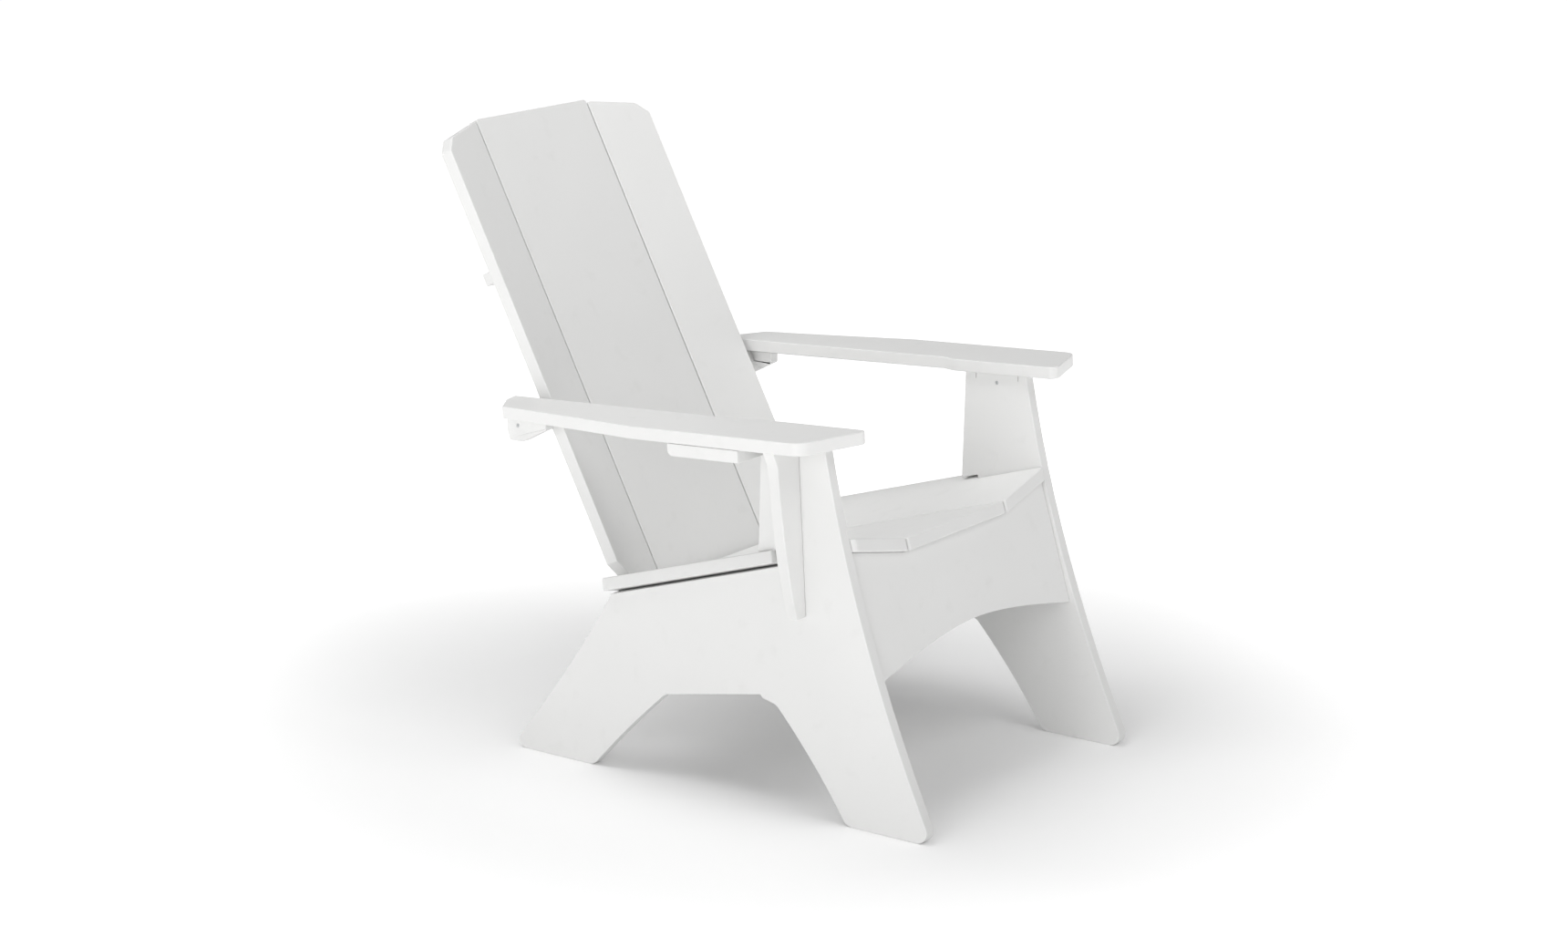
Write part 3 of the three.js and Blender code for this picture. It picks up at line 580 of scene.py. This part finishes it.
@dataclass
class Board:
    """One board of the chair, routed from sheet, its edges eased with a small round.

    Attributes:
        node: The CAD node that it stands for.
        easing_mm: Radius of the eased edges.
        easing_steps: Faces across the round.
        sharp_deg: The least turn between two faces that counts as an edge.
        flat_deg: The most turn between two triangles that are part of one face.
        edge_deg: The least turn from the rolled faces that makes a face a routed one.
        hole_mm: Everything this near to a screw belongs to its hole.
        butt_y: Where a butted board begins, in metres; the edges there stay crisp.
        butt_gap_mm: How far that board moves up to the one before it.
    """

    node: str
    easing_mm: float = 1.3
    easing_steps: int = 3
    sharp_deg: float = 40.0
    flat_deg: float = 0.3
    edge_deg: float = 45.0
    hole_mm: float = 4.6
    butt_y: float | None = None
    butt_gap_mm: float = 0.26

    def build(self, holes: list[Axis], finish: SheetFinish) -> bpy.types.Object:
        """Models the board and gives it its finish.

        Args:
            holes: The screws of the chair.
            finish: The sheet's finish.

        Returns:
            The board's object.
        """
        piece = self._blank()
        self._close_butt(piece)
        self._ease_edges(piece, holes)
        self._lay_pattern(piece, self._across(piece))
        self._dress(piece, finish)
        pick(piece)
        bpy.ops.object.shade_smooth_by_angle(angle=math.radians(self.sharp_deg))
        apply_modifier(piece, "WEIGHTED_NORMAL", weight=100, keep_sharp=True)
        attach(piece, BODY)
        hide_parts(self.node)
        log.info("%s: %d faces", piece.name, len(piece.data.polygons))
        return piece

    def _blank(self) -> bpy.types.Object:
        """Copies the board out of the CAD model, as flat faces in place of triangles.

        Returns:
            The copy.
        """
        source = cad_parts[self.node]
        piece = bpy.data.objects.new(f"{self.node}_eased", source.data.copy())
        bpy.context.scene.collection.objects.link(piece)
        piece.data.materials.clear()
        pick(piece)
        bpy.ops.object.mode_set(mode="EDIT")
        bpy.ops.mesh.select_all(action="SELECT")
        bpy.ops.mesh.remove_doubles(threshold=WELD_MM * MM)
        bpy.ops.mesh.customdata_custom_splitnormals_clear()
        bpy.ops.mesh.dissolve_limited(angle_limit=math.radians(self.flat_deg))
        bpy.ops.object.mode_set(mode="OBJECT")
        return piece

    def _close_butt(self, piece: bpy.types.Object) -> None:
        """Closes the gap at a butt joint down to a hairline.

        Args:
            piece: The board's object.
        """
        if self.butt_y is None:
            return
        for vertex in piece.data.vertices:
            if abs(vertex.co.y - self.butt_y) < NEAR_MM * MM:
                vertex.co.y -= self.butt_gap_mm * MM

    def _ease_edges(self, piece: bpy.types.Object, holes: list[Axis]) -> None:
        """Rounds every edge of the board except at a butt joint and round its screw holes.

        Args:
            piece: The board's object.
            holes: The screws of the chair.
        """
        pick(piece)
        bpy.ops.object.mode_set(mode="EDIT")
        bpy.ops.mesh.select_mode(type="EDGE")
        bpy.ops.mesh.select_all(action="DESELECT")
        mesh = bmesh.from_edit_mesh(piece.data)
        sharp = math.radians(self.sharp_deg)
        near_butt = 2 * self.butt_gap_mm * MM
        for edge in mesh.edges:
            middle = (edge.verts[0].co + edge.verts[1].co) / 2
            outside = all(hole.distance(middle) > self.hole_mm * MM for hole in holes)
            butted = self.butt_y is not None and abs(middle.y - self.butt_y) < near_butt
            edge.select_set(outside and not butted and edge.calc_face_angle(0.0) > sharp)
        mesh.select_flush_mode()
        bmesh.update_edit_mesh(piece.data)
        bpy.ops.mesh.bevel(
            offset=self.easing_mm * MM,
            segments=self.easing_steps,
            affect="EDGES",
            clamp_overlap=False,
        )
        bpy.ops.object.mode_set(mode="OBJECT")

    def _across(self, piece: bpy.types.Object) -> Vector:
        """Direction through the board's thickness."""
        return max(piece.data.polygons, key=lambda face: face.area).normal.copy()

    def _is_routed(self, face: bpy.types.MeshPolygon, across: Vector) -> bool:
        """Whether a face is part of a routed edge."""
        return abs(face.normal.dot(across)) < math.cos(math.radians(self.edge_deg))

    def _lay_pattern(self, piece: bpy.types.Object, across: Vector) -> None:
        """Lays a map over the board in metres: round its edges one way, through it the other.

        Args:
            piece: The board's object.
            across: Direction through the thickness.
        """
        mesh = piece.data
        while mesh.uv_layers:
            mesh.uv_layers.remove(mesh.uv_layers[0])
        layer = mesh.uv_layers.new(name="sheet")
        side = across.orthogonal().normalized()
        for face in mesh.polygons:
            routed = self._is_routed(face, across)
            first = across.cross(face.normal).normalized() if routed else side
            second = across if routed else across.cross(side)
            for loop in face.loop_indices:
                point = mesh.vertices[mesh.loops[loop].vertex_index].co
                layer.data[loop].uv = (point.dot(first), point.dot(second))

    def _dress(self, piece: bpy.types.Object, finish: SheetFinish) -> None:
        """Gives the rolled faces and the routed edges their materials.

        Args:
            piece: The board's object.
            finish: The sheet's finish.
        """
        across = self._across(piece)
        for surface in Surface:
            material = bpy.data.materials.get(surface.material_name)
            piece.data.materials.append(material or finish.material(surface))
        for face in piece.data.polygons:
            face.material_index = int(self._is_routed(face, across))


# -------------------------------------------------------------- sub-assemblies


@dataclass
class SubAssembly:
    """Boards that belong together.

    Attributes:
        holes: The screws of the chair.
        finish: The sheet's finish.
        easing_mm: Radius of the eased edges of these boards.
    """

    holes: list[Axis]
    finish: SheetFinish
    easing_mm: float = 1.3

    def names(self) -> list[str]:
        """CAD nodes of the boards."""
        raise NotImplementedError

    def butt_y(self) -> float | None:
        """Where boards of this sub-assembly are butted end to end, in metres."""
        return None

    def build(self) -> list[bpy.types.Object]:
        """Models every board.

        Returns:
            The boards' objects.
        """
        return [
            Board(name, easing_mm=self.easing_mm, butt_y=self.butt_y()).build(
                self.holes, self.finish
            )
            for name in self.names()
        ]


@dataclass
class LegPanels(SubAssembly):
    """Front and rear leg panels, butted below the seat."""

    def names(self) -> list[str]:
        """CAD nodes of the four panels."""
        return [f"{end}_leg_{side}" for side in SIDES for end in ("front", "rear")]

    def butt_y(self) -> float:
        """Front end of the rear panels."""
        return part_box("rear_leg_right")[0][1]


@dataclass
class Seat(SubAssembly):
    """Three boards that dish the seat, with a rounder edge where the legs rest."""

    easing_mm: float = 1.8

    def names(self) -> list[str]:
        """CAD nodes of the seat boards."""
        return [f"seat_board_{place}" for place in ("centre", *SIDES)]


@dataclass
class Back(SubAssembly):
    """Middle board and two wings."""

    easing_mm: float = 1.6

    def names(self) -> list[str]:
        """CAD nodes of the back boards."""
        return [f"back_board_{place}" for place in ("centre", *SIDES)]


@dataclass
class Arms(SubAssembly):
    """Arms, with the gusset and bracket under each, and the block under the right arm."""

    easing_mm: float = 1.6

    def names(self) -> list[str]:
        """CAD nodes of the arms and of what holds them."""
        kinds = ("arm", "arm_gusset", "arm_bracket")
        return [f"{kind}_{side}" for side in SIDES for kind in kinds] + ["arm_block_right"]


@dataclass
class Underframe(SubAssembly):
    """Apron, rails and ribs."""

    easing_mm: float = 1.2

    def names(self) -> list[str]:
        """CAD nodes of the boards behind and below."""
        rails = [f"side_rail_{side}" for side in SIDES]
        return ["front_apron", "rear_seat_rail", "upper_back_rib", "lower_back_rib", *rails]


@dataclass
class Screws:
    """Countersunk stainless screws with a six-lobed drive.

    Attributes:
        shank_mm: Radius over the threads.
        head_mm: Radius of the head.
        head_depth_mm: Height of the head's cone.
        crown_mm: Height of the head's rim above the cone.
        pitch_mm: Distance between threads.
        thread_mm: Depth of a thread.
        drive_mm: Radius of the drive over its lobes.
        drive_waist_mm: Radius of the drive between its lobes.
        drive_depth_mm: Depth of the drive.
        lobes: Lobes of the drive.
        steps: Faces round the screw.
        sharp_deg: The least turn between two faces that shades as an edge.
        finish: The steel's finish.
    """

    shank_mm: float = 2.0
    head_mm: float = 3.0
    head_depth_mm: float = 2.0
    crown_mm: float = 0.2
    pitch_mm: float = 1.8
    thread_mm: float = 0.5
    drive_mm: float = 1.4
    drive_waist_mm: float = 1.05
    drive_depth_mm: float = 1.2
    lobes: int = 6
    steps: int = 36
    sharp_deg: float = 30.0
    finish: ScrewFinish = field(default_factory=ScrewFinish)

    def build(self) -> list[bpy.types.Object]:
        """Models one screw for each length and sets a copy along every screw's line.

        Returns:
            The screws' objects.
        """
        material = self.finish.material()
        masters: dict[int, bpy.types.Object] = {}
        pieces = []
        for node in SCREWS:
            axis = Axis.of(node)
            length = round((axis.tip - axis.head).length / MM)
            if length not in masters:
                masters[length] = self._model(length, material)
            pieces.append(self._place(masters[length], node, axis))
        for master in masters.values():
            bpy.data.objects.remove(master)
        log.info("screws: %d in %d lengths", len(pieces), len(masters))
        return pieces

    def _profile(self, length: float) -> list[tuple[float, float]]:
        """Half section of the screw, from its tip up to the middle of its head.

        Args:
            length: Tip to head, in millimetres.

        Returns:
            Radius and height of each point, in millimetres.
        """
        top = self.crown_mm
        root = self.shank_mm - self.thread_mm
        points = [(0.0, top - length), (root, top - length + self.shank_mm)]
        height = points[-1][1] + self.pitch_mm / 2
        while height < -self.head_depth_mm - self.pitch_mm:
            points.append((self.shank_mm, height))
            points.append((root, height + self.pitch_mm / 2))
            height += self.pitch_mm
        points.append((root, -self.head_depth_mm))
        points.append((self.head_mm, 0.0))
        points.append((self.head_mm, top / 2))
        points.append((self.head_mm - top, top))
        points.append((0.0, top))
        return points

    def _model(self, length: float, material: bpy.types.Material) -> bpy.types.Object:
        """Turns a screw that stands on its tip, with its head at the origin.

        Args:
            length: Tip to head, in millimetres.
            material: The steel.

        Returns:
            The screw's object.
        """
        points = [(radius * MM, 0.0, height * MM) for radius, height in self._profile(length)]
        mesh = bpy.data.meshes.new("screw")
        mesh.from_pydata(points, [(at, at + 1) for at in range(len(points) - 1)], [])
        screw = bpy.data.objects.new("screw", mesh)
        bpy.context.scene.collection.objects.link(screw)
        pick(screw)
        bpy.ops.object.mode_set(mode="EDIT")
        bpy.ops.mesh.select_all(action="SELECT")
        bpy.ops.mesh.spin(
            steps=self.steps, angle=math.tau, center=(0, 0, 0), axis=(0, 0, 1), use_auto_merge=True
        )
        bpy.ops.mesh.select_all(action="SELECT")
        bpy.ops.mesh.remove_doubles(threshold=WELD_MM * MM)
        bpy.ops.mesh.normals_make_consistent(inside=False)
        bpy.ops.object.mode_set(mode="OBJECT")
        self._cut_drive(screw)
        screw.data.materials.append(material)
        pick(screw)
        bpy.ops.object.shade_smooth_by_angle(angle=math.radians(self.sharp_deg))
        return screw

    def _cut_drive(self, screw: bpy.types.Object) -> None:
        """Sinks the six-lobed drive into the head.

        Args:
            screw: The screw's object.
        """
        bpy.ops.object.select_all(action="DESELECT")
        bpy.ops.mesh.primitive_cylinder_add(
            vertices=4 * self.lobes,
            radius=self.drive_mm * MM,
            depth=2 * self.drive_depth_mm * MM,
            location=(0, 0, self.crown_mm * MM),
        )
        cutter = bpy.context.object
        depth = (self.drive_mm - self.drive_waist_mm) / 2
        for vertex in cutter.data.vertices:
            angle = math.atan2(vertex.co.y, vertex.co.x)
            radius = (self.drive_mm - depth + depth * math.cos(self.lobes * angle)) * MM
            vertex.co.xy = radius * math.cos(angle), radius * math.sin(angle)
        apply_modifier(screw, "BOOLEAN", object=cutter, operation="DIFFERENCE", solver="EXACT")
        bpy.data.objects.remove(cutter)

    def _place(self, master: bpy.types.Object, node: str, axis: Axis) -> bpy.types.Object:
        """Sets a copy of the screw along a line.

        Args:
            master: The modelled screw.
            node: The CAD node that the copy stands for.
            axis: Its line.

        Returns:
            The copy.
        """
        piece = bpy.data.objects.new(f"{node}_turned", master.data.copy())
        bpy.context.scene.collection.objects.link(piece)
        out = (axis.head - axis.tip).normalized()
        turn = out.to_track_quat("Z", "Y").to_matrix().to_4x4()
        seat = axis.head - out * self.crown_mm * MM
        piece.data.transform(Matrix.Translation(seat) @ turn)
        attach(piece, BODY)
        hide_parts(node)
        log.info("%s: %d faces", piece.name, len(piece.data.polygons))
        return piece


# --------------------------------------------------------------------- studio


CHAIR_MIDDLE = Vector((0.0, 0.0, 0.45))


@dataclass(frozen=True)
class Softbox:
    """Square light that points at the middle of the chair.

    Attributes:
        name: What it does.
        place: Its middle, in metres.
        size: Length of its sides, in metres.
        power: Its power, in watts.
    """

    name: str
    place: tuple[float, float, float]
    size: float
    power: float

    def build(self) -> None:
        """Hangs the light and points it."""
        bpy.ops.object.select_all(action="DESELECT")
        bpy.ops.object.light_add(type="AREA", location=self.place)
        light = bpy.context.object
        light.name = self.name
        light.data.shape = "SQUARE"
        light.data.size = self.size
        light.data.energy = self.power
        towards = CHAIR_MIDDLE - Vector(self.place)
        light.rotation_euler = towards.to_track_quat("-Z", "Y").to_euler()


@dataclass
class Studio:
    """Pale floor, soft light and the camera.

    Attributes:
        floor_size: Length of the floor's sides, in metres.
        camera_place: Where the camera stands, in metres.
        camera_pitch_deg: How far it looks down.
        camera_yaw_deg: How far it is turned from looking along +Y.
        lens_mm: Its focal length.
        sensor_mm: Width of its sensor.
        sky: Strength of the even light from all round.
        boxes: The soft lights.
    """

    floor_size: float = 60.0
    camera_place: tuple[float, float, float] = (-4.2127, -3.0657, 1.7451)
    camera_pitch_deg: float = 14.267
    camera_yaw_deg: float = -54.202
    lens_mm: float = 80.05
    sensor_mm: float = 36.0
    sky: float = 0.375
    boxes: tuple[Softbox, ...] = (
        Softbox("side", (-7.0, -1.6, 1.6), 3.6, 147.0),
        Softbox("top", (-0.9, 1.0, 4.2), 2.6, 73.0),
        Softbox("front", (-0.8, -4.5, 5.0), 3.2, 84.0),
    )

    def build(self) -> None:
        """Sets up the floor, the lights and the camera."""
        self._floor()
        self._sky()
        for box in self.boxes:
            box.build()
        self._camera()
        bpy.context.scene.view_settings.view_transform = "Standard"

    def _floor(self) -> None:
        """Lays the floor under the feet."""
        bpy.ops.object.select_all(action="DESELECT")
        bpy.ops.mesh.primitive_plane_add(size=self.floor_size, location=(0, 0, 0))
        floor = bpy.context.object
        floor.name = "studio_floor"
        floor.data.materials.append(FloorFinish().material())

    def _sky(self) -> None:
        """Lights the chair evenly from all round, in front of a white backdrop."""
        world = bpy.data.worlds.new("studio")
        world.use_nodes = True
        tree = world.node_tree
        tree.nodes.clear()
        ray = add_node(tree, "ShaderNodeLightPath")
        strength = add_node(
            tree,
            "ShaderNodeMapRange",
            inputs={"Value": ray.outputs["Is Camera Ray"], "To Min": self.sky, "To Max": 1.0},
        )
        light = add_node(
            tree,
            "ShaderNodeBackground",
            inputs={"Color": (1, 1, 1, 1), "Strength": strength.outputs["Result"]},
        )
        add_node(tree, "ShaderNodeOutputWorld", inputs={"Surface": light.outputs["Background"]})
        bpy.context.scene.world = world

    def _camera(self) -> None:
        """Places the camera at standing height, off the chair's right front corner."""
        data = bpy.data.cameras.new("camera")
        data.lens = self.lens_mm
        data.sensor_width = self.sensor_mm
        data.sensor_fit = "HORIZONTAL"
        camera = bpy.data.objects.new("camera", data)
        camera.location = self.camera_place
        tilt = math.radians(90.0 - self.camera_pitch_deg)
        camera.rotation_euler = (tilt, 0.0, math.radians(self.camera_yaw_deg))
        bpy.context.scene.collection.objects.link(camera)
        bpy.context.scene.camera = camera


def main() -> None:
    """Builds the studio and the chair, one sub-assembly after another."""
    logging.basicConfig(level=logging.INFO, format="%(name)s: %(message)s")
    Studio().build()
    holes = [Axis.of(name) for name in SCREWS]
    finish = SheetFinish()
    for assembly in (LegPanels, Seat, Back, Arms, Underframe):
        boards = assembly(holes, finish).build()
        log.info("%s: %d boards", assembly.__name__, len(boards))
    Screws().build()


if __name__ == "__main__":
    main()
